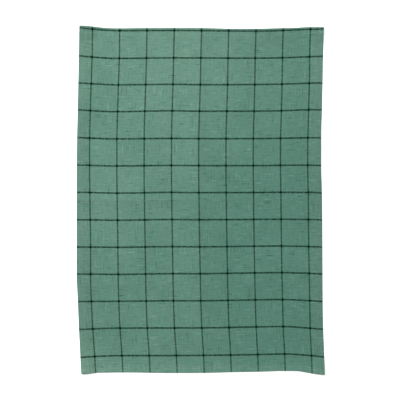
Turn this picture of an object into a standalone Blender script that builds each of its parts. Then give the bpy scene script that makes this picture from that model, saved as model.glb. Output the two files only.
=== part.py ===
"""A tea towel of plain-woven cloth with hems on all four sides, spread out face up on a flat surface.

Metres, +Z up. The towel's length runs along Y with its top end at +Y, and its width along X. The underside
lies at z = 0. Only the ironed fold lines, the corners, the bottom hem and a few slack stretches of the edges
lift off it.

A place on the cloth is given by how far across it lies from the centre line (left is negative) and how far
down it lies from the top edge, both along the cloth. The cloth isn't spread quite straight, so two short
tables say how far it strays from a plain rectangle.
"""

import bmesh
import bpy
import numpy as np

MM = 0.001

# Driving sizes, in metres
WIDTH = 0.4981  # from side edge to side edge, hemmed
LENGTH = 0.7012  # from top edge to bottom edge, hemmed
CLOTH_THICK = 0.0011
HEM_WIDE = 0.013  # the edges are turned under twice, this wide
HEM_EXTRA = 0.0010  # what the two turned layers add below the face layer
HEM_SLOPE = 0.0025  # the face comes down from a hem over this distance
EDGE_ROUND = 0.0007  # the turned edge bulges this far
CONTACT_SKIN = 0.00015  # a lift below this presses flat on the surface
SHOULDER = 1.5  # how square the lifted corners and edge stretches are in section: 1 is a peak, 2 a dome
BLEND = 3  # how closely lifts that meet follow the highest of them

# How far the cloth strays to the right along its length, in mm
STRAY_ACROSS = (
    # down, left edge, centre line, right edge
    (0, 2.2, 1.8, 1.8),
    (60, 0.8, 0.0, -0.1),
    (115, -0.2, -0.8, -1.2),
    (170, -1.3, -2.6, -2.4),
    (225, -2.6, -4.1, -3.9),
    (260, -3.2, -4.3, -4.1),
    (345, -3.4, -3.8, -2.2),
    (445, -3.4, -2.3, -1.4),
    (495, -3.5, -1.3, -1.2),
    (555, -1.1, 0.0, -1.0),
    (610, 1.2, 2.0, 0.2),
    (665, 4.0, 5.5, 2.4),
    (701, 5.8, 7.2, 3.6),
)

# How far the two ends stray upwards across the width, in mm
STRAY_ALONG = (
    # across, top edge, bottom edge
    (-249, 5.4, -4.2),
    (-233, 4.7, -2.4),
    (-216, 2.8, -0.2),
    (-200, 1.1, 0.0),
    (-167, -0.2, 0.4),
    (-130, 0.3, 0.1),
    (-70, 0.5, -0.7),
    (0, 0.3, -0.4),
    (61, -1.2, 1.0),
    (93, -1.4, 1.5),
    (126, -1.0, 2.3),
    (158, 0.0, 3.5),
    (191, 0.7, 3.2),
    (207, 1.8, 0.7),
    (223, 2.2, -2.1),
    (249, 2.0, -5.2),
)
STRAY_FADE = 0.55  # the stray of one end is gone this share of the length away

# The corners curl up a little and are blunt, in mm
CORNERS = (
    # side, end, lift, reach of the lift, corner radius
    ("left", "top", 3.0, 30, 2.5),
    ("right", "top", 1.4, 28, 2.0),
    ("left", "bottom", 1.2, 26, 4.0),
    ("right", "bottom", 1.2, 30, 3.0),
)

# The ironed fold lines stand up as soft ridges, in mm: the long one runs down the centre line
LONG_FOLD = {"top": 2.2, "bottom": 1.6, "reach_left": 40, "reach_right": 15, "crest": 1.2}
CROSS_FOLDS = (
    # share of the length, height at the left, height at the right, reach above, reach below, crest
    (0.25, 1.0, 0.5, 24, 10, 1.5),
    (0.50, 2.6, 0.2, 32, 14, 1.2),
    (0.75, 0.7, 0.2, 24, 10, 1.5),
)

# A stiff hem tips up towards its edge
BOTTOM_CURL = {"height": 0.6, "reach": 15}  # mm

# Slack stretches of the edges, in mm
SLACK = (
    # edge, middle of the stretch, height, half its length, reach into the cloth
    ("left", 190, 1.2, 60, 30),
    ("left", 480, 1.6, 70, 38),
    ("right", 255, 1.0, 60, 36),
    ("right", 560, 0.8, 60, 30),
    ("top", 95, 1.4, 55, 28),
    ("bottom", -60, 0.6, 60, 24),
    ("bottom", 175, 1.2, 40, 34),
)

# The mesh's rows of points, in mm
CORNER_ROWS = (0, 1.5, 3, 4.2)  # from each edge, for the corner radii; two rows for the hem come next
SLACK_ROWS = (24, 38, 56)  # from each edge, for what lifts beside it
FOLD_ROWS = (0, 3, 9, 20)  # to both sides of each fold line
WIDEST_GAP = 26  # between rows anywhere else

# The cloth's finish
GROUND_GREEN = (0.122, 0.251, 0.195, 1.0)
CLOTH_ROUGHNESS = 0.9
SHARPEST_BEND = 50  # degrees: edges that turn more than this are shaded sharp


def clear_scene():
    for obj in list(bpy.data.objects):
        bpy.data.objects.remove(obj, do_unlink=True)


def smooth_through(stations, values, at):
    """A smooth curve through the stations, read at the places given."""
    stations = np.asarray(stations, float)
    values = np.asarray(values, float)
    slopes = np.gradient(values, stations)
    at = np.clip(at, stations[0], stations[-1])
    left = np.clip(np.searchsorted(stations, at, side="right") - 1, 0, len(stations) - 2)
    gap = stations[left + 1] - stations[left]
    t = (at - stations[left]) / gap
    return (
        values[left] * (2 * t**3 - 3 * t**2 + 1)
        + values[left + 1] * (3 * t**2 - 2 * t**3)
        + slopes[left] * gap * (t**3 - 2 * t**2 + t)
        + slopes[left + 1] * gap * (t**3 - t**2)
    )


def soft_step(value, start, end):
    """0 up to start, 1 from end on, and smooth between them."""
    t = np.clip((value - start) / (end - start), 0, 1)
    return t * t * (3 - 2 * t)


def from_edges(across, down):
    """The distance to each edge, by its name."""
    distances = {
        "left": WIDTH / 2 + across,
        "right": WIDTH / 2 - across,
        "top": down,
        "bottom": LENGTH - down,
    }
    return {edge: np.maximum(distance, 0) for edge, distance in distances.items()}


def blunt_corners(across, down):
    """Draws the square corners in to their radii."""
    for side, end, _, _, radius in CORNERS:
        edges = from_edges(across, down)
        radius = radius * MM
        out_x = np.maximum(radius - edges[side], 0)
        out_y = np.maximum(radius - edges[end], 0)
        longest = np.maximum(out_x, out_y)
        straight = np.hypot(out_x, out_y)
        keep = np.divide(longest, straight, out=np.ones_like(straight), where=straight > 0)
        outward = 1 if side == "right" else -1
        downward = 1 if end == "bottom" else -1
        across = across - outward * out_x * (1 - keep)
        down = down - downward * out_y * (1 - keep)
    return across, down


def plan(across, down):
    """Where a place on the cloth lies, seen from above."""
    across, down = blunt_corners(across, down)
    rows = np.array(STRAY_ACROSS) * MM
    left, centre, right = (smooth_through(rows[:, 0], rows[:, i], down) for i in (1, 2, 3))
    share = 2 * across / WIDTH
    stray_x = centre + share * (right - left) / 2 + share**2 * ((left + right) / 2 - centre)
    rows = np.array(STRAY_ALONG) * MM
    top, bottom = (smooth_through(rows[:, 0], rows[:, i], across) for i in (1, 2))
    near_top = np.clip(1 - down / (STRAY_FADE * LENGTH), 0, 1)
    near_bottom = np.clip(1 - (LENGTH - down) / (STRAY_FADE * LENGTH), 0, 1)
    stray_y = top * near_top + bottom * near_bottom
    return across + stray_x, LENGTH / 2 - down + stray_y


def ridge(distance, height, reach_before, reach_after, crest):
    """A fold line's soft ridge: steep beside its rounded crest and long at its foot, longer on one side."""
    off_crest = np.sqrt(distance**2 + (crest * MM) ** 2) - crest * MM
    reach = np.where(distance < 0, reach_before, reach_after) * MM
    return height * MM * np.exp(-off_crest / reach)


def lift(across, down):
    """How far the cloth's underside stands off the surface."""
    edges = from_edges(across, down)
    share_down = down / LENGTH
    share_across = across / WIDTH + 0.5
    long_height = LONG_FOLD["top"] + (LONG_FOLD["bottom"] - LONG_FOLD["top"]) * share_down
    fold = LONG_FOLD
    forms = [ridge(across, long_height, fold["reach_left"], fold["reach_right"], fold["crest"])]
    for share, at_left, at_right, above, below, crest in CROSS_FOLDS:
        height = at_left + (at_right - at_left) * share_across
        forms.append(ridge(down - share * LENGTH, height, above, below, crest))
    for side, end, height, reach, _ in CORNERS:
        spread = (edges[side] + edges[end]) / (reach * MM)
        forms.append(height * MM * np.exp(-(spread**SHOULDER)))
    for edge, middle, height, half, reach in SLACK:
        along = across if edge in ("top", "bottom") else down
        bow = np.exp(-(((along - middle * MM) / (half * MM)) ** 2))
        forms.append(height * MM * bow * np.exp(-((edges[edge] / (reach * MM)) ** SHOULDER)))
    joined = sum(form**BLEND for form in forms) ** (1 / BLEND)
    curl = BOTTOM_CURL["height"] * MM * np.maximum(1 - edges["bottom"] / (BOTTOM_CURL["reach"] * MM), 0)
    return np.maximum(joined - CONTACT_SKIN, 0) + curl


def thickness(across, down):
    """One layer of cloth, thicker where the hems are turned under it."""
    edges = from_edges(across, down)
    at_side = np.minimum(edges["left"], edges["right"])
    at_end = np.minimum(edges["top"], edges["bottom"])
    turned = 0
    for distance in (at_side, at_end):
        turned = turned + 1 - soft_step(distance, HEM_WIDE, HEM_WIDE + HEM_SLOPE)
    return CLOTH_THICK + HEM_EXTRA * turned


def mesh_rows(start, end, fold_lines):
    """The rows of points from one edge to the other: close beside edges and fold lines, wider between."""
    hem_rows = np.array((HEM_WIDE, HEM_WIDE + HEM_SLOPE)) / MM
    edge_rows = np.array((*CORNER_ROWS, *hem_rows, *SLACK_ROWS)) * MM
    fold_rows = np.array(FOLD_ROWS) * MM
    rows = [*(start + edge_rows), *(end - edge_rows)]
    for line in fold_lines:
        rows += [*(line - fold_rows[1:]), *(line + fold_rows)]
    rows.sort()
    filled = []
    for here, after in zip(rows, rows[1:]):
        parts = int(np.ceil((after - here) / (WIDEST_GAP * MM)))
        filled += [here + (after - here) * i / parts for i in range(parts)]
    return filled + [rows[-1]]


def cloth_mesh():
    """A grid of the cloth's rows, extruded to a closed sheet with a rounded edge and then laid in place."""
    across_rows = mesh_rows(-WIDTH / 2, WIDTH / 2, [0])
    down_rows = mesh_rows(0, LENGTH, [share * LENGTH for share, *_ in CROSS_FOLDS])
    x_steps = len(across_rows) - 1
    y_steps = len(down_rows) - 1
    bm = bmesh.new()
    bmesh.ops.create_grid(bm, x_segments=x_steps, y_segments=y_steps, size=0.5)
    for vert in bm.verts:
        column = round((vert.co.x + 0.5) * x_steps)
        row = round((0.5 - vert.co.y) * y_steps)
        vert.co = (across_rows[column], down_rows[row], 0)
    # For now Z says which face a point is on: 0 is the underside and 1 the face
    raised = bmesh.ops.extrude_face_region(bm, geom=bm.faces[:], use_keep_orig=True)
    for item in raised["geom"]:
        if isinstance(item, bmesh.types.BMVert):
            item.co.z = 1
    walls = [edge for edge in bm.edges if edge.verts[0].co.z != edge.verts[1].co.z]
    bmesh.ops.subdivide_edges(bm, edges=walls, cuts=1)
    lay_points(bm)
    bmesh.ops.recalc_face_normals(bm, faces=bm.faces[:])
    mesh = bpy.data.meshes.new("cloth")
    bm.to_mesh(mesh)
    bm.free()
    return mesh


def lay_points(bm):
    """Moves every point from its place on the cloth to its place in the laid towel."""
    across, down, level = np.array([vert.co for vert in bm.verts]).T
    inset = EDGE_ROUND * np.abs(2 * level - 1)
    held_across = np.clip(across, -WIDTH / 2 + inset, WIDTH / 2 - inset)
    held_down = np.clip(down, inset, LENGTH - inset)
    x, y = plan(held_across, held_down)
    x = x - (x.max() + x.min()) / 2
    y = y - (y.max() + y.min()) / 2
    z = lift(across, down) + level * thickness(across, down)
    for vert, place in zip(bm.verts, zip(x, y, z)):
        vert.co = place


def cloth_material():
    material = bpy.data.materials.new("green_cloth")
    material.use_nodes = True
    shader = material.node_tree.nodes["Principled BSDF"]
    shader.inputs["Base Color"].default_value = GROUND_GREEN
    shader.inputs["Roughness"].default_value = CLOTH_ROUGHNESS
    shader.inputs["Metallic"].default_value = 0.0
    material.diffuse_color = GROUND_GREEN
    return material


def build():
    clear_scene()
    mesh = cloth_mesh()
    mesh.materials.append(cloth_material())
    mesh.shade_smooth()
    mesh.set_sharp_from_angle(angle=np.radians(SHARPEST_BEND))
    towel = bpy.data.objects.new("cloth", mesh)
    bpy.context.scene.collection.objects.link(towel)


build()
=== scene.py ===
import math

import bpy
import numpy as np
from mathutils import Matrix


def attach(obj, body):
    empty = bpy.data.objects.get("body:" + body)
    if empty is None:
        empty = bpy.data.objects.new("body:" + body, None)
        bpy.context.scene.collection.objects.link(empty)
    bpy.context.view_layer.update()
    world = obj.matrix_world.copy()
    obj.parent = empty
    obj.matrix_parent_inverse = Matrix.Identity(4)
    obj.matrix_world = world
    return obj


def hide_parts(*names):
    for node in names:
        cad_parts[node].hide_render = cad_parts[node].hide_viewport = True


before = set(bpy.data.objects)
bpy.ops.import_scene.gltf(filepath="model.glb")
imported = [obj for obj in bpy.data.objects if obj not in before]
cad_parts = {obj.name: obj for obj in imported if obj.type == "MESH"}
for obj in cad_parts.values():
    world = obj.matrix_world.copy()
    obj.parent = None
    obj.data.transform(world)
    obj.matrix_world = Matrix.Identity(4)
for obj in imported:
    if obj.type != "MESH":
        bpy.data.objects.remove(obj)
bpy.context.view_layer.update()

mm = 0.001

towel = {
    "width": 0.4981,  # side edge to side edge, hemmed
    "length": 0.7012,  # top edge to bottom edge, hemmed
    "clothThick": 0.0004,
    "layerPitch": 0.00045,  # from one layer of a hem to the next
    "hemWide": 0.013,
    "turnedIn": 0.010,  # the first turn, hidden inside the hem
    "hemSlope": 0.017,  # the face comes down from a hem over this distance
    "slopeGap": 0.0003,  # and starts this far inside it
    "cornerSlope": 0.4,  # how much longer that slope is where two hems cross
    "squareFrom": 0.020,  # a corner's thick edge is drawn in from here, so that it stays in line
    "squareTo": 0.002,
    "seamInset": 0.0112,  # the stitching, from the edge
    "seamWide": 0.0018,
    "seamPull": 0.20,  # the share of a hem's height that its stitches pull down
    "pressFlat": 0.00015,  # a lift below this lies flat on the surface
}

# How far the cloth strays to the right from a straight lay, in mm
straysRight = (
    # down, left edge, 1st line, centre line, 9th line, right edge
    (0, 2.2, 1.6, 1.8, 1.5, 1.8),
    (60, 0.8, 0.9, 0.2, -0.1, -0.1),
    (115, -0.2, -1.1, -0.8, -0.9, -1.2),
    (170, -1.3, -2.8, -2.5, -2.1, -2.4),
    (225, -2.6, -4.2, -3.9, -3.8, -3.9),
    (280, -3.3, -4.4, -4.1, -4.2, -3.9),
    (335, -3.4, -3.8, -3.7, -3.0, -2.4),
    (445, -3.4, -2.3, -2.0, -2.1, -1.4),
    (500, -3.4, -2.2, -1.0, -1.1, -1.2),
    (556, -1.1, -0.7, 0.2, 0.1, -1.0),
    (611, 1.2, 2.1, 2.2, 0.9, 0.2),
    (666, 4.0, 6.2, 5.7, 3.4, 2.4),
    (701, 5.8, 8.2, 7.2, 4.7, 3.6),
)

# How far the open cloth strays upwards, in mm
straysUp = (
    # down, left edge, 1st, 2nd, 4th line, centre line, 7th, 8th, 9th line, right edge
    (6, 7.2, 3.3, -0.3, 0.2, -0.3, -1.2, 0.2, 2.9, 4.6),
    (60, 3.8, 1.1, -1.5, -0.5, -0.7, -1.1, -0.3, 1.9, 2.7),
    (115, 3.9, 2.1, -0.2, 0.8, 0.0, 0.4, 1.3, 3.1, 3.7),
    (170, 4.1, 2.4, 0.4, 2.0, 1.2, 1.4, 2.2, 4.1, 4.1),
    (225, 2.8, 1.6, 0.0, 0.9, 0.5, 0.5, 1.2, 2.2, 2.2),
    (335, 1.5, 1.1, -0.1, 1.3, 0.9, 1.1, 1.5, 1.3, 0.3),
    (445, 0.4, 0.2, -0.2, 1.2, 0.8, 2.0, 2.4, 1.4, 0.6),
    (500, 0.5, 0.3, -0.1, 1.3, 1.3, 2.9, 3.4, 1.9, 0.6),
    (611, -2.0, -0.8, 0.6, 1.0, 1.2, 3.1, 3.9, 0.4, -1.6),
    (666, -3.7, -1.9, -0.2, 0.0, 0.4, 2.0, 3.2, -0.2, -2.9),
)
upLines = (-4, -3, -1, 0, 2, 3, 4)  # the lines of its columns, counted from the centre line

# How far the two end edges stray upwards, in mm
endStrays = (
    # across, top edge, bottom edge
    (-249, 5.4, -4.2),
    (-233, 4.7, -2.4),
    (-216, 2.8, -0.2),
    (-200, 1.1, 0.0),
    (-167, -0.2, 0.4),
    (-130, 0.3, 0.1),
    (-70, 0.5, -0.7),
    (0, 0.3, -0.4),
    (61, -1.2, 1.0),
    (93, -1.4, 1.5),
    (126, -1.0, 2.3),
    (158, 0.0, 3.5),
    (191, 0.7, 3.2),
    (207, 1.8, 0.7),
    (223, 2.2, -2.1),
    (249, 2.0, -5.2),
)

# The corners curl up a little and are blunt, in mm
corners = (
    # side, end, lift, reach of the lift, corner radius
    ("left", "top", 3.0, 30, 2.5),
    ("right", "top", 1.4, 28, 2.0),
    ("left", "bottom", 1.2, 26, 4.0),
    ("right", "bottom", 1.2, 30, 3.0),
)

# The ironed fold lines stand up as soft ridges, in mm
longFold = {  # down the centre line
    "top": 2.2,
    "bottom": 1.6,
    "reachLeft": 40,
    "reachRight": 15,
    "crest": 1.2,
}
crossFolds = (
    # share of the length, height at the left, height at the right, reach above, reach below, crest
    (0.25, 1.0, 0.5, 24, 10, 1.5),
    (0.50, 2.6, 0.2, 32, 14, 1.2),
    (0.75, 0.7, 0.2, 24, 10, 1.5),
)

# One stiff hem tips up at its edge, by this many mm and over this many widths of a hem
hemCurl = {"edge": "bottom", "height": 0.6, "reach": 1.15}

# Slack stretches of the edges, in mm
slack = (
    # edge, middle of the stretch, height, half its length, reach into the cloth
    ("left", 190, 1.2, 60, 30),
    ("left", 480, 1.6, 70, 38),
    ("right", 255, 1.0, 60, 36),
    ("right", 560, 0.8, 60, 30),
    ("top", 95, 1.4, 55, 28),
    ("bottom", -60, 0.6, 60, 24),
    ("bottom", 175, 1.2, 40, 34),
)
fadePower = 1.5  # how a lift dies away from its edge or corner
joinPower = 3  # how lifts that meet run into one another

# The small unevenness of cloth that was washed and ironed, in mm
unevenness = (
    # height, shortest wave, longest wave, number of waves, seed
    (0.22, 45, 120, 9, 3),
    (0.06, 18, 34, 12, 8),
)
pucker = {  # along the hems, in mm
    "height": 0.16,
    "shortest": 15,
    "longest": 26,
    "waves": 7,
    "reach": 9,
    "seed": 21,
}

# The check: dark yarns among the green ones, both ways
check = {
    "across": 0.05545,  # from one line to the next, side to side
    "down": 0.0551,
    "firstDown": 0.0055,  # the first cross line, from the top edge
    "outerLine": 4,  # the outermost line down the cloth, counted from the centre line
    "yarnsPerCheck": 78,
    "darkWarps": 4,  # in a line down the cloth
    "darkWefts": 5,  # in a line across it
}


def smoothThrough(stations, values, at):
    # a smooth curve through the stations; each station has one value, or one for every place
    stations = np.asarray(stations, float)
    values = np.asarray(values, float)
    gaps = np.diff(stations)
    if values.ndim == 2:
        gaps = gaps[:, None]
    steps = np.diff(values, axis=0) / gaps
    before = np.concatenate((steps[:1], steps))
    after = np.concatenate((steps, steps[-1:]))
    steepest = 2 * np.minimum(np.abs(before), np.abs(after)) * (before * after > 0)
    slopes = np.gradient(values, stations, axis=0)
    slopes = np.clip(slopes, -steepest, steepest)  # so that it never overshoots
    at = np.clip(at, stations[0], stations[-1])
    left = np.clip(np.searchsorted(stations, at, side="right") - 1, 0, len(stations) - 2)
    gap = stations[left + 1] - stations[left]
    t = (at - stations[left]) / gap

    def pick(table, row):
        return table[row] if table.ndim == 1 else table[row, np.arange(len(at))]

    return (
        pick(values, left) * (2 * t**3 - 3 * t**2 + 1)
        + pick(values, left + 1) * (3 * t**2 - 2 * t**3)
        + pick(slopes, left) * gap * (t**3 - 2 * t**2 + t)
        + pick(slopes, left + 1) * gap * (t**3 - t**2)
    )


def softStep(value, start, end):
    t = np.clip((value - start) / (end - start), 0, 1)
    return t * t * (3 - 2 * t)


def fromEdges(across, down):
    distances = {
        "left": towel["width"] / 2 + across,
        "right": towel["width"] / 2 - across,
        "top": down,
        "bottom": towel["length"] - down,
    }
    return {edge: np.maximum(distance, 0) for edge, distance in distances.items()}


def bluntCorners(across, down):
    # draws the square corners in to their radii
    for side, end, _, _, radius in corners:
        edges = fromEdges(across, down)
        outX = np.maximum(radius * mm - edges[side], 0)
        outY = np.maximum(radius * mm - edges[end], 0)
        straight = np.hypot(outX, outY)
        furthest = np.maximum(outX, outY)
        keep = np.divide(furthest, straight, out=np.ones_like(straight), where=straight > 0)
        across = across - (1 if side == "right" else -1) * outX * (1 - keep)
        down = down - (1 if end == "bottom" else -1) * outY * (1 - keep)
    return across, down


def planOf(across, down):
    # where a place on the cloth lies, seen from above
    across, down = bluntCorners(across, down)
    halfWidth = towel["width"] / 2
    outerLine = check["outerLine"] * check["across"]
    downAt, *strays = (np.array(straysRight) * mm).T
    byColumn = [smoothThrough(downAt, stray, down) for stray in strays]
    strayX = smoothThrough((-halfWidth, -outerLine, 0, outerLine, halfWidth), byColumn, across)
    acrossAt, *ends = (np.array(endStrays) * mm).T
    top, bottom = (smoothThrough(acrossAt, end, across) for end in ends)
    rows = np.array(straysUp) * mm
    columns = (-halfWidth, *(line * check["across"] for line in upLines), halfWidth)
    byRow = [top, *(smoothThrough(columns, row[1:], across) for row in rows), bottom]
    strayY = smoothThrough((0, *rows[:, 0], towel["length"]), byRow, down)
    return across + strayX, towel["length"] / 2 - down + strayY


def ridge(distance, height, reachBefore, reachAfter, crest):
    # steep beside its rounded crest and long at its foot
    offCrest = np.sqrt(distance**2 + (crest * mm) ** 2) - crest * mm
    reach = np.where(distance < 0, reachBefore, reachAfter) * mm
    return height * mm * np.exp(-offCrest / reach)


def liftOf(across, down):
    # how far the underside stands off the surface, with the same folds and corners as the solid
    edges = fromEdges(across, down)
    longHeight = longFold["top"] + (longFold["bottom"] - longFold["top"]) * down / towel["length"]
    reaches = longFold["reachLeft"], longFold["reachRight"]
    forms = [ridge(across, longHeight, *reaches, longFold["crest"])]
    for share, atLeft, atRight, above, below, crest in crossFolds:
        height = atLeft + (atRight - atLeft) * (across / towel["width"] + 0.5)
        forms.append(ridge(down - share * towel["length"], height, above, below, crest))
    for side, end, height, reach, _ in corners:
        spread = (edges[side] + edges[end]) / (reach * mm)
        forms.append(height * mm * np.exp(-(spread**fadePower)))
    for edge, middle, height, half, reach in slack:
        along = across if edge in ("top", "bottom") else down
        bow = np.exp(-(((along - middle * mm) / (half * mm)) ** 2))
        forms.append(height * mm * bow * np.exp(-((edges[edge] / (reach * mm)) ** fadePower)))
    joined = sum(form**joinPower for form in forms) ** (1 / joinPower)
    fromEdge = edges[hemCurl["edge"]] / (hemCurl["reach"] * towel["hemWide"])
    curl = hemCurl["height"] * mm * np.maximum(1 - fromEdge, 0)
    return np.maximum(joined - towel["pressFlat"], 0) + curl


def softWaves(across, down, count, shortest, longest, seed):
    # low waves in all directions, from 0 to 1
    pick = np.random.default_rng(seed)
    turns = pick.uniform(0, math.pi, count)
    lengths = pick.uniform(shortest, longest, count)
    starts = pick.uniform(0, 2 * math.pi, count)
    total = 0
    for turn, length, start in zip(turns, lengths, starts):
        run = (across * math.cos(turn) + down * math.sin(turn)) / (length * mm)
        total = total + np.sin(2 * math.pi * run + start)
    return 0.5 + total / (2 * count)


def unevenOf(across, down):
    rise = 0
    for height, shortest, longest, count, seed in unevenness:
        rise = rise + height * mm * softWaves(across, down, count, shortest, longest, seed)
    edges = fromEdges(across, down)
    for edge, distance in edges.items():
        along = across if edge in ("top", "bottom") else down
        waves = pucker["waves"], pucker["shortest"], pucker["longest"]
        wave = softWaves(along, 0 * along, *waves, pucker["seed"] + len(edge))  # a seed for each edge
        near = np.exp(-(((distance - towel["seamInset"]) / (pucker["reach"] * mm)) ** 2))
        rise = rise + pucker["height"] * mm * wave * near
    return rise


def hemParts(half):
    # how far from the middle, along the cut cloth, the parts of a hem begin and end
    pitch = towel["layerPitch"]
    faceEnd = half - towel["clothThick"] / 2 - pitch
    innerFold = half - towel["hemWide"] + towel["clothThick"] / 2 + pitch / 2
    underStart = faceEnd + math.pi * pitch
    underEnd = underStart + faceEnd - innerFold
    turnStart = underEnd + math.pi * pitch / 2
    return {
        "faceEnd": faceEnd,
        "underStart": underStart,
        "underEnd": underEnd,
        "turnStart": turnStart,
        "rawEdge": turnStart + towel["turnedIn"],
    }


sideHem = hemParts(towel["width"] / 2)
endHem = hemParts(towel["length"] / 2)


def turnUnder(run, half, hem, level, stack, slope):
    # turns a stack of cloth under twice; level is the height of this layer in the stack
    pitch = towel["layerPitch"]
    out = np.abs(run)
    outerTurn = math.pi * np.clip((out - hem["faceEnd"]) / (hem["underStart"] - hem["faceEnd"]), 0, 1)
    innerTurn = math.pi * np.clip((out - hem["underEnd"]) / (hem["turnStart"] - hem["underEnd"]), 0, 1)
    outerRadius = pitch + stack / 2 + level
    innerRadius = pitch / 2 + level
    place = np.minimum(out, hem["faceEnd"]) + outerRadius * np.sin(outerTurn)
    place = place - (np.clip(out, hem["underStart"], hem["underEnd"]) - hem["underStart"])
    place = place - innerRadius * np.sin(innerTurn)
    place = place + np.maximum(out - hem["turnStart"], 0)
    halfPile = 1.5 * stack  # three stacks lie on one another in a hem
    height = pitch + halfPile + outerRadius * np.cos(outerTurn) + innerRadius * (1 - np.cos(innerTurn))
    hemFoot = towel["hemWide"] + towel["slopeGap"]
    drop = 2 * (pitch + stack) * softStep(half - place, hemFoot, hemFoot + slope)
    height = height - np.where(out <= hem["faceEnd"], drop, 0)
    nearEdge = softStep(place, half - towel["squareFrom"], half - towel["squareTo"])
    return np.sign(run) * (place - halfPile * nearEdge), height


def clothAt(cutX, cutY):
    # the middle of the cloth's thickness, for a place on the cut cloth measured from its centre
    halfWidth = towel["width"] / 2
    halfLength = towel["length"] / 2
    fold = 2 * towel["layerPitch"]
    nearEnd = 1 - softStep(halfLength - np.abs(cutY), towel["hemWide"], 2 * towel["hemWide"])
    slope = towel["hemSlope"] * (1 + towel["cornerSlope"] * nearEnd)
    across, level = turnUnder(cutX, halfWidth, sideHem, 0, 0, slope)
    stack = np.where(np.abs(cutX) <= sideHem["faceEnd"], level, fold)
    slope = towel["hemSlope"] * (1 + towel["cornerSlope"] * stack / fold)
    up, height = turnUnder(cutY, halfLength, endHem, level, stack, slope)
    down = halfLength - up
    edges = fromEdges(across, down)
    pull = 0
    for distance in edges.values():
        fromSeam = (distance - towel["seamInset"]) / towel["seamWide"]
        pull = np.maximum(pull, towel["seamPull"] * np.exp(-(fromSeam**2)))
    x, y = planOf(across, down)
    middle = towel["layerPitch"] + stack
    z = middle + (height - middle) * (1 - pull) + liftOf(across, down) + unevenOf(across, down)
    z = z + towel["clothThick"] / 2
    return np.array((x, y, z)), 1 - pull


def clothSurface(cutX, cutY, side):
    # a point on one face of the cloth, side 1 or -1, and the way it faces
    step = 1e-5
    middle, squeeze = clothAt(cutX, cutY)
    alongX = clothAt(cutX + step, cutY)[0] - clothAt(cutX - step, cutY)[0]
    alongY = clothAt(cutX, cutY + step)[0] - clothAt(cutX, cutY - step)[0]
    facing = np.cross(alongX, alongY, axis=0)
    facing = side * facing / np.linalg.norm(facing, axis=0)
    return middle + facing * squeeze * towel["clothThick"] / 2, facing


meshRows = {
    # where the mesh's rows of points lie, and the widest gaps between them, in mm
    "atFold": (0, 1, 2.2, 4, 7),  # from the middle fold line
    "openGap": 4.2,
    "slope": 13,  # before a hem
    "slopeGap": 2.9,
    "foot": 4.4,  # nearer the hem
    "footGap": 0.9,
    "atSeam": (-0.6, 0, 0.6, 1.3, 2.2),  # from the stitching, in widths of the seam
    "pastSeam": 3.2,
    "faceGap": 2.2,
    "outerTurn": 8,  # rows round the hem's edge
    "underGap": 2.6,
    "innerTurn": 6,  # rows round the fold inside the hem
    "insideGap": 3.4,
}
bakeShare = (0.99, 0.80)  # of a square picture, so that its rows don't beat with the yarns


def evenly(start, end, widest):
    return np.linspace(start, end, int(np.ceil((end - start) / widest)) + 1)[:-1]


def roundTurn(start, end, count):
    return np.linspace(start, end, count)[:-1]


def clothRows(half, hem):
    # the mesh's rows of points, from raw edge to raw edge: close at the fold, the hems and the seams
    seam = half - towel["seamInset"]
    foot = half - towel["hemWide"]
    slope = foot - meshRows["slope"] * mm
    nearFoot = foot - meshRows["foot"] * mm
    pastSeam = seam + meshRows["pastSeam"] * towel["seamWide"]
    nearTurn = hem["underEnd"] - meshRows["underGap"] * mm
    folds = [step * mm for step in meshRows["atFold"]]
    rows = []
    for start, end in zip(folds, [*folds[1:], slope]):
        rows += [*evenly(start, end, meshRows["openGap"] * mm)]
    rows += [*evenly(slope, nearFoot, meshRows["slopeGap"] * mm)]
    rows += [*evenly(nearFoot, foot, meshRows["footGap"] * mm), foot]
    rows += [seam + step * towel["seamWide"] for step in meshRows["atSeam"]]
    rows += [*evenly(pastSeam, hem["faceEnd"], meshRows["faceGap"] * mm)]
    rows += [*roundTurn(hem["faceEnd"], hem["underStart"], meshRows["outerTurn"])]
    rows += [*evenly(hem["underStart"], nearTurn, meshRows["underGap"] * mm)]
    rows += [*evenly(nearTurn, hem["underEnd"], meshRows["footGap"] * mm)]
    rows += [*roundTurn(hem["underEnd"], hem["turnStart"], meshRows["innerTurn"])]
    rows += [*evenly(hem["turnStart"], hem["rawEdge"], meshRows["insideGap"] * mm), hem["rawEdge"]]
    return np.array([*(-row for row in reversed(rows) if row > 0), *rows])


def clothFaces(wide, high):
    # the two faces of the cloth, of wide x high points each, and the raw edge that joins them
    count = wide * high
    faces = []
    for row in range(high - 1):
        for column in range(wide - 1):
            a = row * wide + column
            faces.append((a, a + 1, a + wide + 1, a + wide))
            faces.append((a + count, a + wide + count, a + wide + 1 + count, a + 1 + count))
    rim = [*range(wide), *range(2 * wide - 1, count, wide)]
    rim += [*range(count - 2, count - wide - 1, -1), *range(count - 2 * wide, 0, -wide)]
    for here, after in zip(rim, [*rim[1:], rim[0]]):
        faces.append((after, here, here + count, after + count))
    return faces


def addMaps(mesh, cutX, cutY):
    corner = np.empty(len(mesh.loops), int)
    mesh.loops.foreach_get("vertex_index", corner)
    places = np.array((np.tile(cutX, 2), np.tile(cutY, 2)))[:, corner]
    weave = mesh.uv_layers.new(name="weave")  # metres on the cut cloth, from its centre
    weave.data.foreach_set("uv", places.T.ravel())
    bake = mesh.uv_layers.new(name="OFBake")  # the same, in one picture
    flat = np.array((2 * sideHem["rawEdge"], 2 * endHem["rawEdge"]))[:, None]
    share = np.array(bakeShare)[:, None]
    bake.data.foreach_set("uv", (places / flat * share + 0.5).T.ravel())
    mesh.uv_layers.active = weave
    weave.active_render = True


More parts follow.
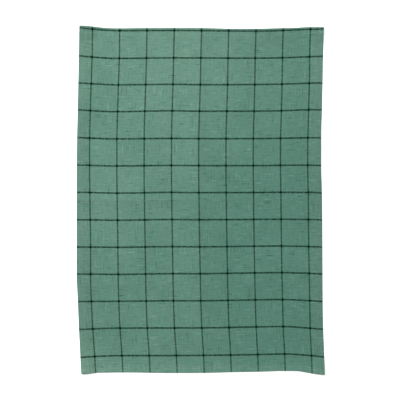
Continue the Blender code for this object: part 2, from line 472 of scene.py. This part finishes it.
def makeTowel():
    columns = clothRows(towel["width"] / 2, sideHem)
    rows = clothRows(towel["length"] / 2, endHem)
    cutX, cutY = (grid.ravel() for grid in np.meshgrid(columns, rows))
    sides = [clothSurface(cutX, cutY, side)[0] for side in (1, -1)]
    points = np.concatenate(sides, axis=1)
    low, high = points.min(axis=1), points.max(axis=1)
    # this brings its middle to the centre and its lowest point to the surface
    shift = np.array(((high[0] + low[0]) / 2, (high[1] + low[1]) / 2, low[2]))
    points = points - shift[:, None]
    mesh = bpy.data.meshes.new("towelCloth")
    mesh.from_pydata(points.T.tolist(), [], clothFaces(len(columns), len(rows)))
    addMaps(mesh, cutX, cutY)
    mesh.shade_smooth()
    mesh.validate()
    cloth = bpy.data.objects.new("towelCloth", mesh)
    bpy.context.scene.collection.objects.link(cloth)
    return cloth, shift


finish = {
    "green": (0.0788, 0.1850, 0.1414),
    # the green lit by the painted light
    "paintedLitGreen": (0.1217, 0.2390, 0.1861),
    "darkWarp": (0.0001, 0.0150, 0.0076),  # the yarns of the check's lines
    "darkWeft": (0.0001, 0.0235, 0.0110),
    "yarnWide": 0.47,  # half a yarn's width, as a share of the pitch
    "swell": 0.13,  # how much that varies along a yarn
    "wander": 0.5,  # how far the yarns drift together, as a share of the pitch
    "spacing": 0.5,  # and how unevenly they lie next to each other
    "yarnRound": 0.45,  # how far a yarn's top stands above its sides, as a share of the pitch
    "yarnRise": 0.30,  # how far a yarn rises where it crosses over, as a share of the pitch
    "darkWarpLift": 0.35,  # the dark yarns are fuller and cover more of the line
    "darkWeftLift": 0.46,
    "beads": 1.1,  # how unevenly the dark yarns cover
    "knots": 0.7,  # how much more they cover round each crossing
    "knotReach": 2,  # and how many yarns out
    "slubs": 0.11,  # how much lighter and darker these make the cloth
    "streaks": 0.09,
    "patches": 0.072,
    "fibres": 0.12,
    "specks": 0.9,  # small knots of fibre in the yarn, pale or dark
    "speckFrom": 0.14,  # how rare they are
    "warpDashes": 2.4,  # pale thick places and dark thin ones, some millimetres long
    "weftDashes": 3.0,
    "dashFrom": 0.12,  # how rare they are
    "paleFibre": 0.12,  # the lighter places are paler too, as fibres that took less dye
    "paintedTopLight": 1.04,  # painted light: how light the yarns' tops are
    "paintedHollowShade": 0.55,  # painted shade: how dark it is between the yarns
    "darkSidesShade": 1.6,  # painted shade: a dark yarn is painted down to black at its sides; this is how soon, up its side, it has its full colour
    "dyeSpots": 2.6,  # the dye took unevenly, between the next two
    "greener": (0.965, 1.003, 1.004),
    "greyer": (1.035, 0.997, 0.996),
    "weaveDepth": 0.00028,  # in metres, for a height of one pitch
    "weaveStrength": 0.6,
    "fibreDepth": 0.12,  # of the fibres, as a share of the pitch
    "twist": 0.4,  # how far the fibres lean, as a slope
    "rough": 0.82,
    "roughHollows": 0.10,
    "roughFibres": 0.05,
    "shine": 0.06,
    "sheen": 0.05,
    "sheenTint": (0.6, 0.9, 0.75),
    "sheenRough": 0.5,
}

# Cloudy noises, by how often they change in a metre; a slub's first number is for each yarn
noises = {
    # name: to the right, upwards, detail, seed
    "driftX": (90, 45, 1, 2),
    "spacingX": (600, 50, 1, 61),
    "driftY": (45, 90, 1, 5),
    "spacingY": (50, 600, 1, 67),
    "slubWarp": (7.3, 75, 2, 11),
    "slubWeft": (7.3, 75, 2, 17),
    "bead": (260, 260, 1, 59),
    "streakWarp": (420, 55, 1, 23),
    "streakWeft": (55, 420, 1, 29),
    "fibreWarp": (9000, 1600, 1, 31),
    "fibreWeft": (1600, 9000, 1, 37),
    "patch": (14, 14, 2, 41),
    "dashWarp": (520, 34, 1, 43),
    "dashWeft": (46, 420, 1, 47),
    "speck": (520, 520, 1, 71),
    "dye": (120, 120, 2, 53),
    "thread": (300, 300, 1, 3),
}

# Painted light: the cloth is painted lighter on its left half, where more light falls, and a little
# lighter again at its right edge
paintedLightAcross = (
    # place across from the centre, share of the painted light
    (-0.250, 0.41),
    (-0.130, 0.42),
    (-0.025, 0.41),
    (0.015, 0.24),
    (0.080, 0.08),
    (0.224, 0.03),
    (0.240, 0.17),
)
# Painted pools of light: at the top centre, on the left and at the bottom-left corner
paintedLightPools = (
    # across from the centre, up from it, reach, how much more painted light
    (0.0, 0.36, 0.38, 0.68),
    (-0.20, 0.0, 0.15, 0.34),
    (-0.25, -0.355, 0.09, 0.70),
)
paintedHemLight = {"from": 0.019, "to": 0.010, "more": 0.42}  # painted light on the bottom hem, above the bottom edge
greyHem = {"from": 0.222, "to": 0.238, "more": 1.0}  # towards the two sides, from the centre


def give(tree, term, socket):
    # a number or a colour goes in as it is, and another node's result is linked
    if isinstance(term, (int, float)):
        socket.default_value = term
    elif isinstance(term, tuple):
        socket.default_value = (*term, 1.0)
    else:
        tree.links.new(term, socket)


def calculator(tree):
    # calc("ADD", a, b) places a Math node and gives its result
    def calc(operation, *terms):
        node = tree.nodes.new("ShaderNodeMath")
        node.operation = operation
        for socket, term in zip(node.inputs, terms):
            give(tree, term, socket)
        return node.outputs[0]

    return calc


def noiseMaker(tree):
    # a cloudy value from 0 to 1, stretched by its own scale along each direction
    calc = calculator(tree)

    def noise(name, x, y):
        scaleX, scaleY, detail, seed = noises[name]
        stretch = tree.nodes.new("ShaderNodeCombineXYZ")
        tree.links.new(calc("MULTIPLY", x, scaleX), stretch.inputs["X"])
        tree.links.new(calc("MULTIPLY", y, scaleY), stretch.inputs["Y"])
        stretch.inputs["Z"].default_value = seed
        cloud = tree.nodes.new("ShaderNodeTexNoise")
        cloud.noise_dimensions = "3D"
        cloud.inputs["Scale"].default_value = 1.0
        cloud.inputs["Detail"].default_value = detail
        tree.links.new(stretch.outputs[0], cloud.inputs["Vector"])
        return cloud.outputs["Fac"]

    return noise


def newMaterial(name):
    material = bpy.data.materials.new(name)
    material.use_nodes = True
    tree = material.node_tree
    return material, tree, tree.nodes["Principled BSDF"]


def mixColours(tree, share, first, second):
    mix = tree.nodes.new("ShaderNodeMix")
    mix.data_type = "RGBA"
    mix.clamp_factor = False
    for name, term in (("Factor", share), ("A", first), ("B", second)):
        give(tree, term, mix.inputs[name])
    return mix.outputs["Result"]


def easeTo(tree, value, start, end, most):
    # from 0 at the start to the most at the end
    ease = tree.nodes.new("ShaderNodeMapRange")
    ease.interpolation_type = "SMOOTHSTEP"
    for name, term in (("Value", value), ("From Min", start), ("From Max", end), ("To Max", most)):
        give(tree, term, ease.inputs[name])
    return ease.outputs["Result"]


def addBump(tree, shader, relief, strength, depth):
    bump = tree.nodes.new("ShaderNodeBump")
    bump.inputs["Strength"].default_value = strength
    bump.inputs["Distance"].default_value = depth
    tree.links.new(relief, bump.inputs["Height"])
    tree.links.new(bump.outputs[0], shader.inputs["Normal"])


def paintedLightOf(tree, u, v):
    # how much painted light each place has
    calc = calculator(tree)
    ramp = tree.nodes.new("ShaderNodeValToRGB")
    ramp.color_ramp.interpolation = "EASE"
    stops = ramp.color_ramp.elements
    while len(stops) < len(paintedLightAcross):
        stops.new(0.5)
    for stop, (place, share) in zip(stops, paintedLightAcross):
        stop.position = place / towel["width"] + 0.5
        stop.color = (share, share, share, 1.0)
    tree.links.new(calc("ADD", calc("DIVIDE", u, towel["width"]), 0.5), ramp.inputs["Fac"])
    paintedLightTone = ramp.outputs["Color"]
    for across, up, reach, more in paintedLightPools:
        offX, offY = calc("SUBTRACT", u, across), calc("SUBTRACT", v, up)
        off = calc("SQRT", calc("ADD", calc("MULTIPLY", offX, offX), calc("MULTIPLY", offY, offY)))
        near = calc("MAXIMUM", calc("SUBTRACT", 1.0, calc("DIVIDE", off, reach)), 0.0)
        paintedLightTone = calc("ADD", paintedLightTone, calc("MULTIPLY", near, more))
    bottom = towel["length"] / 2
    paintedOnHem = easeTo(tree, v, paintedHemLight["from"] - bottom, paintedHemLight["to"] - bottom, paintedHemLight["more"])
    return calc("ADD", paintedLightTone, paintedOnHem)


def clothMaterial():
    material, tree, shader = newMaterial("greenCheckCloth")
    calc = calculator(tree)
    noise = noiseMaker(tree)
    places = tree.nodes.new("ShaderNodeUVMap")
    places.uv_map = "weave"
    split = tree.nodes.new("ShaderNodeSeparateXYZ")
    tree.links.new(places.outputs[0], split.inputs[0])
    u, v = split.outputs["X"], split.outputs["Y"]

    def offCentre(value, amount):
        return calc("MULTIPLY", calc("SUBTRACT", value, 0.5), amount)

    def shade(value, amount):
        return offCentre(value, 2.0 * amount)

    def isDark(yarn, darkYarns):
        place = calc("FLOORED_MODULO", calc("ADD", yarn, darkYarns // 2), check["yarnsPerCheck"])
        return calc("LESS_THAN", place, darkYarns - 0.5)

    def rareOf(value, gap):
        # only the highest places, above 0, and the lowest, below 0
        high = calc("MAXIMUM", calc("SUBTRACT", value, 0.5 + gap), 0.0)
        return calc("SUBTRACT", high, calc("MAXIMUM", calc("SUBTRACT", 0.5 - gap, value), 0.0))

    # yarns wander a little, and each has its number
    warpPitch = check["across"] / check["yarnsPerCheck"]
    weftPitch = check["down"] / check["yarnsPerCheck"]
    driftX = offCentre(noise("driftX", u, v), finish["wander"] * warpPitch)
    spacingX = offCentre(noise("spacingX", u, v), finish["spacing"] * warpPitch)
    driftY = offCentre(noise("driftY", u, v), finish["wander"] * weftPitch)
    spacingY = offCentre(noise("spacingY", u, v), finish["spacing"] * weftPitch)
    firstLine = towel["length"] / 2 - check["firstDown"]
    wanderX = calc("ADD", driftX, spacingX)
    wanderY = calc("ADD", driftY, spacingY)
    x = calc("DIVIDE", calc("ADD", u, wanderX), warpPitch)
    y = calc("DIVIDE", calc("SUBTRACT", calc("ADD", v, wanderY), firstLine), weftPitch)
    warp, weft = calc("FLOOR", x), calc("FLOOR", y)
    offWarp = calc("SUBTRACT", calc("SUBTRACT", x, warp), 0.5)
    offWeft = calc("SUBTRACT", calc("SUBTRACT", y, weft), 0.5)
    darkWarp, darkWeft = isDark(warp, check["darkWarps"]), isDark(weft, check["darkWefts"])

    # thick and thin places along each yarn
    slubWarp = noise("slubWarp", warp, v)
    slubWeft = noise("slubWeft", weft, u)

    # plain weave: each yarn goes over one and under one
    odd = calc("FLOORED_MODULO", calc("ADD", warp, weft), 2.0)
    over = calc("SUBTRACT", 1.0, calc("MULTIPLY", odd, 2.0))

    def yarnHeight(off, otherOff, side, slub):
        wide = calc("ADD", finish["yarnWide"], offCentre(slub, 2 * finish["swell"]))
        share = calc("DIVIDE", off, wide)
        inside = calc("MAXIMUM", calc("SUBTRACT", 1.0, calc("MULTIPLY", share, share)), 0.0)
        roundTop = calc("MULTIPLY", calc("SQRT", inside), finish["yarnRound"])
        wave = calc("MULTIPLY", side, calc("COSINE", calc("MULTIPLY", otherOff, math.pi)))
        return calc("ADD", roundTop, calc("MULTIPLY", wave, finish["yarnRise"]))

    warpHeight = yarnHeight(offWarp, offWeft, over, slubWarp)
    weftHeight = yarnHeight(offWeft, offWarp, calc("MULTIPLY", over, -1.0), slubWeft)

    # the dark yarns cover more, and most of all where two lines cross
    bead = calc("ADD", 1.0, offCentre(noise("bead", u, v), 2 * finish["beads"]))
    reach = 2 * finish["knotReach"]
    nearWarp = isDark(warp, check["darkWarps"] + reach)
    nearWeft = isDark(weft, check["darkWefts"] + reach)
    knot = calc("MULTIPLY", calc("MULTIPLY", nearWarp, nearWeft), finish["knots"])
    warpCover = calc("ADD", calc("MULTIPLY", bead, finish["darkWarpLift"]), knot)
    weftCover = calc("ADD", calc("MULTIPLY", bead, finish["darkWeftLift"]), knot)
    warpTop = calc("ADD", warpHeight, calc("MULTIPLY", darkWarp, warpCover))
    weftTop = calc("ADD", weftHeight, calc("MULTIPLY", darkWeft, weftCover))
    warpShows = calc("GREATER_THAN", warpTop, weftTop)
    weftShows = calc("SUBTRACT", 1.0, warpShows)

    def choose(ofWarp, ofWeft):
        return calc("ADD", calc("MULTIPLY", ofWarp, warpShows), calc("MULTIPLY", ofWeft, weftShows))

    # light and dark: slubs, streaks of uneven yarn, soft patches, fibres, dashes and specks
    height = choose(warpHeight, weftHeight)
    slub = choose(slubWarp, slubWeft)
    streak = choose(noise("streakWarp", u, v), noise("streakWeft", u, v))
    twistX = calc("ADD", u, calc("MULTIPLY", v, finish["twist"]))
    twistY = calc("ADD", v, calc("MULTIPLY", u, finish["twist"]))
    fibre = choose(noise("fibreWarp", twistX, v), noise("fibreWeft", u, twistY))
    patch = noise("patch", u, v)
    dash = choose(noise("dashWarp", u, v), noise("dashWeft", u, v))
    dashes = choose(finish["warpDashes"], finish["weftDashes"])
    light = calc("MULTIPLY", rareOf(dash, finish["dashFrom"]), dashes)
    speck = rareOf(noise("speck", u, v), finish["speckFrom"])
    light = calc("ADD", light, calc("MULTIPLY", speck, finish["specks"]))
    for value, amount in ((slub, "slubs"), (streak, "streaks"), (fibre, "fibres"), (patch, "patches")):
        light = calc("ADD", light, shade(value, finish[amount]))
    # painted shade between the yarns and painted light on their tops, from the weave's height
    top = calc("DIVIDE", calc("MAXIMUM", height, 0.0), finish["yarnRound"] + finish["yarnRise"])
    low = calc("SUBTRACT", 1.0, top)
    paintedShadeBetween = calc("MULTIPLY", calc("MULTIPLY", low, low), finish["paintedHollowShade"])
    deep = calc("SUBTRACT", finish["paintedTopLight"], paintedShadeBetween)

    def blend(operation, first, second):
        node = tree.nodes.new("ShaderNodeVectorMath")
        node.operation = operation
        tree.links.new(first, node.inputs[0])
        tree.links.new(second, node.inputs["Scale" if operation == "SCALE" else 1])
        return node.outputs[0]

    # painted light: the green turns lighter where the painted light falls
    paintedLightTone = mixColours(tree, paintedLightOf(tree, u, v), finish["green"], finish["paintedLitGreen"])
    dye = calc("ADD", 0.5, shade(noise("dye", u, v), finish["dyeSpots"]))
    fromCentre = calc("ABSOLUTE", u)
    dye = calc("ADD", dye, easeTo(tree, fromCentre, greyHem["from"], greyHem["to"], greyHem["more"]))
    ground = blend("MULTIPLY", paintedLightTone, mixColours(tree, dye, finish["greener"], finish["greyer"]))
    ground = blend("SCALE", ground, calc("ADD", 1.0, light))
    ground = blend("SCALE", blend("ADD", ground, calc("MULTIPLY", light, finish["paleFibre"])), deep)
    dark = mixColours(tree, warpShows, finish["darkWeft"], finish["darkWarp"])
    # painted shade: the dark yarns turn black down their sides
    dark = mixColours(tree, calc("MULTIPLY", top, finish["darkSidesShade"]), (0.0, 0.0, 0.0), dark)
    colour = mixColours(tree, choose(darkWarp, darkWeft), ground, dark)
    tree.links.new(colour, shader.inputs["Base Color"])

    below = calc("SUBTRACT", 1.0, height)
    rough = calc("ADD", finish["rough"], calc("MULTIPLY", below, finish["roughHollows"]))
    rough = calc("ADD", rough, shade(fibre, finish["roughFibres"]))
    tree.links.new(rough, shader.inputs["Roughness"])
    relief = calc("ADD", height, calc("MULTIPLY", fibre, finish["fibreDepth"]))
    addBump(tree, shader, relief, finish["weaveStrength"], finish["weaveDepth"])
    shader.inputs["Specular IOR Level"].default_value = finish["shine"]
    shader.inputs["Sheen Weight"].default_value = finish["sheen"]
    shader.inputs["Sheen Tint"].default_value = (*finish["sheenTint"], 1.0)
    shader.inputs["Sheen Roughness"].default_value = finish["sheenRough"]
    return material


stitch = {
    "length": 0.0030,  # from one needle hole to the next
    "shown": 0.0026,
    "thread": 0.00034,
    "bow": 0.00016,
    "sink": 0.00018,  # how far its ends go down into the holes
    "pressed": 0.00014,  # how far the underside's stitches are pressed into the cloth
    "turn": 0.06,  # the most that one turns out of line, in radians
    "seed": 5,
    "bends": 5,  # along a stitch
    "sides": 6,  # round the thread
    "pathStep": 0.001,
    "fromCorner": 0.002,  # how far from the end hems the underside's two side seams stop
    "green": (0.150, 0.290, 0.228),
    "pale": 1.2,
    "deep": 0.7,
    "paleShare": 0.35,
    "uneven": 0.4,
    "ply": 0.0005,  # from one ply of the thread to the next
    "plyShade": 0.12,
    "plyStrength": 0.4,
    "plyDepth": 0.00006,
    "rough": 0.5,
    "roughUneven": 0.2,
}


def seamPaths(shift):
    # the line of each seam, on the face and on the underside
    wide = towel["width"] / 2 - towel["seamInset"]
    long = towel["length"] / 2 - towel["seamInset"]
    # where the same needle holes come out below, on the turned cloth
    underWide = sideHem["underStart"] + sideHem["faceEnd"] - wide
    underLong = endHem["underStart"] + endHem["faceEnd"] - long
    shortLong = towel["length"] / 2 - towel["hemWide"] - stitch["fromCorner"]
    ends = wide, long, shortLong
    acrossRun, upRun, shortRun = (np.arange(-end, end, stitch["pathStep"]) for end in ends)
    loop = (
        (acrossRun, np.full_like(acrossRun, long)),
        (np.full_like(upRun, wide), -upRun),
        (-acrossRun, np.full_like(acrossRun, -long)),
        (np.full_like(upRun, -wide), upRun),
    )
    paths = [(*(np.concatenate(places) for places in zip(*loop)), True)]
    for side in (1, -1):
        paths.append((acrossRun, np.full_like(acrossRun, side * underLong), False))
        paths.append((np.full_like(shortRun, side * underWide), shortRun, False))
    points, facings, edges = [], [], []
    for cutX, cutY, onFace in paths:
        place, facing = clothSurface(cutX, cutY, 1)
        if not onFace:
            place = place - facing * stitch["pressed"]
        first = len(points)
        points += (place - shift[:, None]).T.tolist()
        facings += facing.T.tolist()
        edges += [(i, i + 1) for i in range(first, len(points) - 1)]
        if onFace:
            edges.append((len(points) - 1, first))  # one closed loop
    mesh = bpy.data.meshes.new("seamPaths")
    mesh.from_pydata(points, edges, [])
    facing = mesh.attributes.new("facing", "FLOAT_VECTOR", "POINT")
    facing.data.foreach_set("vector", np.array(facings).ravel())
    seams = bpy.data.objects.new("hemStitches", mesh)
    bpy.context.scene.collection.objects.link(seams)
    return seams


def stitchTree():
    tree = bpy.data.node_groups.new("lockstitch", "GeometryNodeTree")
    face = tree.interface
    face.new_socket("Geometry", in_out="INPUT", socket_type="NodeSocketGeometry")
    for name in ("Stitch length", "Thread shown", "Thread width", "Bow", "Sink", "Turn"):
        face.new_socket(name, in_out="INPUT", socket_type="NodeSocketFloat")
    face.new_socket("Seed", in_out="INPUT", socket_type="NodeSocketInt")
    face.new_socket("Thread", in_out="INPUT", socket_type="NodeSocketMaterial")
    face.new_socket("Geometry", in_out="OUTPUT", socket_type="NodeSocketGeometry")
    add, link = tree.nodes.new, tree.links.new
    given = add("NodeGroupInput").outputs
    calc = calculator(tree)

    def place(x, z):
        node = add("ShaderNodeCombineXYZ")
        give(tree, x, node.inputs["X"])
        give(tree, z, node.inputs["Z"])
        return node.outputs[0]

    # one stitch: a short thread, bowed up between two needle holes
    halfShown = calc("MULTIPLY", given["Thread shown"], 0.5)
    sunk = calc("MULTIPLY", given["Sink"], -1.0)
    raised = calc("ADD", calc("MULTIPLY", given["Bow"], 2.0), given["Sink"])
    bend = add("GeometryNodeCurveQuadraticBezier")
    bend.inputs["Resolution"].default_value = stitch["bends"]
    link(place(calc("MULTIPLY", halfShown, -1.0), sunk), bend.inputs["Start"])
    link(place(0.0, raised), bend.inputs["Middle"])
    link(place(halfShown, sunk), bend.inputs["End"])
    ring = add("GeometryNodeCurvePrimitiveCircle")
    ring.inputs["Resolution"].default_value = stitch["sides"]
    link(calc("MULTIPLY", given["Thread width"], 0.5), ring.inputs["Radius"])
    thread = add("GeometryNodeCurveToMesh")
    thread.inputs["Fill Caps"].default_value = True
    link(bend.outputs[0], thread.inputs["Curve"])
    link(ring.outputs["Curve"], thread.inputs["Profile Curve"])

    # one for each stitch length along the seams, facing as the cloth does
    toCurve = add("GeometryNodeMeshToCurve")
    link(given["Geometry"], toCurve.inputs["Mesh"])
    holes = add("GeometryNodeResampleCurve")
    holes.mode = "LENGTH"
    link(toCurve.outputs[0], holes.inputs["Curve"])
    link(given["Stitch length"], holes.inputs["Length"])
    facing = add("GeometryNodeInputNamedAttribute")
    facing.data_type = "FLOAT_VECTOR"
    facing.inputs["Name"].default_value = "facing"
    turned = add("FunctionNodeAxesToRotation")
    turned.primary_axis, turned.secondary_axis = "Z", "X"
    link(facing.outputs["Attribute"], turned.inputs["Primary Axis"])
    link(add("GeometryNodeInputTangent").outputs[0], turned.inputs["Secondary Axis"])
    chance = add("FunctionNodeRandomValue")
    chance.data_type = "FLOAT"
    link(calc("MULTIPLY", given["Turn"], -1.0), chance.inputs[2])
    link(given["Turn"], chance.inputs[3])
    link(given["Seed"], chance.inputs["Seed"])
    lean = place(0.0, chance.outputs[1])
    twist = add("FunctionNodeRotateRotation")
    twist.rotation_space = "LOCAL"
    link(turned.outputs[0], twist.inputs["Rotation"])
    toRotation = add("FunctionNodeEulerToRotation")
    link(lean, toRotation.inputs[0])
    link(toRotation.outputs[0], twist.inputs["Rotate By"])
    spread = add("GeometryNodeInstanceOnPoints")
    link(holes.outputs[0], spread.inputs["Points"])
    link(thread.outputs[0], spread.inputs["Instance"])
    link(twist.outputs[0], spread.inputs["Rotation"])
    whole = add("GeometryNodeRealizeInstances")
    link(spread.outputs[0], whole.inputs[0])
    smooth = add("GeometryNodeSetShadeSmooth")
    link(whole.outputs[0], smooth.inputs[0])
    dressed = add("GeometryNodeSetMaterial")
    link(smooth.outputs[0], dressed.inputs["Geometry"])
    link(given["Thread"], dressed.inputs["Material"])
    link(dressed.outputs[0], add("NodeGroupOutput").inputs[0])
    return tree


def threadMaterial():
    material, tree, shader = newMaterial("greenThread")
    calc = calculator(tree)
    place = tree.nodes.new("ShaderNodeTexCoord")
    split = tree.nodes.new("ShaderNodeSeparateXYZ")
    tree.links.new(place.outputs["Object"], split.inputs[0])
    x, y = split.outputs["X"], split.outputs["Y"]
    ply = calc("SINE", calc("MULTIPLY", calc("ADD", x, y), 2 * math.pi / stitch["ply"]))
    cloud = noiseMaker(tree)("thread", x, y)
    # painted shade: the thread is painted darker in the grooves between its plies and lighter on them;
    # the cloud adds uneven tone
    plyShade = calc("MULTIPLY", ply, stitch["plyShade"])
    shades = calc("ADD", plyShade, calc("MULTIPLY", cloud, stitch["uneven"]))
    share = calc("ADD", stitch["paleShare"], shades)
    deep = tuple(channel * stitch["deep"] for channel in stitch["green"])
    pale = tuple(channel * stitch["pale"] for channel in stitch["green"])
    tree.links.new(mixColours(tree, share, deep, pale), shader.inputs["Base Color"])
    rough = calc("ADD", stitch["rough"], calc("MULTIPLY", cloud, stitch["roughUneven"]))
    tree.links.new(rough, shader.inputs["Roughness"])
    addBump(tree, shader, ply, stitch["plyStrength"], stitch["plyDepth"])
    return material


def makeStitches(shift):
    seams = seamPaths(shift)
    tree = stitchTree()
    thread = threadMaterial()
    sew = seams.modifiers.new("lockstitch", "NODES")
    sew.node_group = tree
    wanted = {
        "Stitch length": stitch["length"],
        "Thread shown": stitch["shown"],
        "Thread width": stitch["thread"],
        "Bow": stitch["bow"],
        "Sink": stitch["sink"],
        "Turn": stitch["turn"],
        "Seed": stitch["seed"],
        "Thread": thread,
    }
    for socket in tree.interface.items_tree:
        if socket.in_out == "INPUT" and socket.name in wanted:
            sew[socket.identifier] = wanted[socket.name]
    bpy.context.view_layer.update()
    ready = seams.evaluated_get(bpy.context.evaluated_depsgraph_get())
    mesh = bpy.data.meshes.new_from_object(ready)
    seams.modifiers.remove(sew)
    seams.data = mesh
    return seams


studio = {
    "floorReach": 3.0,
    "floorDrop": 0.00005,  # just under the towel, so that the two don't flicker
    "floorColour": (0.96, 0.96, 0.958),
    "floorRough": 0.9,
    "floorShine": 0.1,
    "floorGlow": 0.5,  # a table lit from below, so that the cloth's edges throw hardly any shadow
    "keyFrom": (-3.0, 3.1, 3.3),
    "keySize": 4.0,
    "keyPower": 398.0,
    "fill": 0.55,
    "shown": 0.8139,  # metres of floor across the whole picture
    "lookAt": (-0.0015, 0.00045),
    "cameraHeight": 6.0,
    "farthest": 50.0,
    "sensor": 36.0,
}


def makeFloor():
    mesh = bpy.data.meshes.new("floor")
    reach = studio["floorReach"]
    outline = [(-reach, -reach, 0), (reach, -reach, 0), (reach, reach, 0), (-reach, reach, 0)]
    mesh.from_pydata(outline, [], [(0, 1, 2, 3)])
    material, _, shader = newMaterial("paleFloor")
    shader.inputs["Base Color"].default_value = (*studio["floorColour"], 1.0)
    shader.inputs["Roughness"].default_value = studio["floorRough"]
    shader.inputs["Specular IOR Level"].default_value = studio["floorShine"]
    shader.inputs["Emission Color"].default_value = (1.0, 1.0, 1.0, 1.0)
    shader.inputs["Emission Strength"].default_value = studio["floorGlow"]
    mesh.materials.append(material)
    floor = bpy.data.objects.new("floor", mesh)
    bpy.context.scene.collection.objects.link(floor)
    floor.location.z = -studio["floorDrop"]
    return floor


def makeLight():
    key = bpy.data.lights.new("keyLight", "AREA")
    key.shape = "DISK"
    key.size = studio["keySize"]
    key.energy = studio["keyPower"]
    lamp = bpy.data.objects.new("keyLight", key)
    lamp.location = studio["keyFrom"]
    lamp.rotation_euler = (-lamp.location).to_track_quat("-Z", "Y").to_euler()
    bpy.context.scene.collection.objects.link(lamp)
    world = bpy.data.worlds.new("studio")
    world.use_nodes = True
    background = world.node_tree.nodes["Background"]
    background.inputs["Color"].default_value = (1, 1, 1, 1)
    background.inputs["Strength"].default_value = studio["fill"]
    bpy.context.scene.world = world
    bpy.context.scene.view_settings.view_transform = "Standard"


def makeCamera():
    camera = bpy.data.cameras.new("camera")
    camera.sensor_width = studio["sensor"]
    camera.lens = studio["sensor"] * studio["cameraHeight"] / studio["shown"]
    camera.clip_end = studio["farthest"]
    holder = bpy.data.objects.new("camera", camera)
    holder.location = (*studio["lookAt"], studio["cameraHeight"])
    bpy.context.scene.collection.objects.link(holder)
    bpy.context.scene.camera = holder


makeCamera()
makeLight()
floor = makeFloor()
print("studio ready")

cloth, shift = makeTowel()
cloth.data.materials.append(clothMaterial())
print("cloth:", len(cloth.data.polygons), "faces")

stitches = makeStitches(shift)
print("stitching:", len(stitches.data.polygons), "faces")

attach(cloth, "root")
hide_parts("cloth")
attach(stitches, "root")
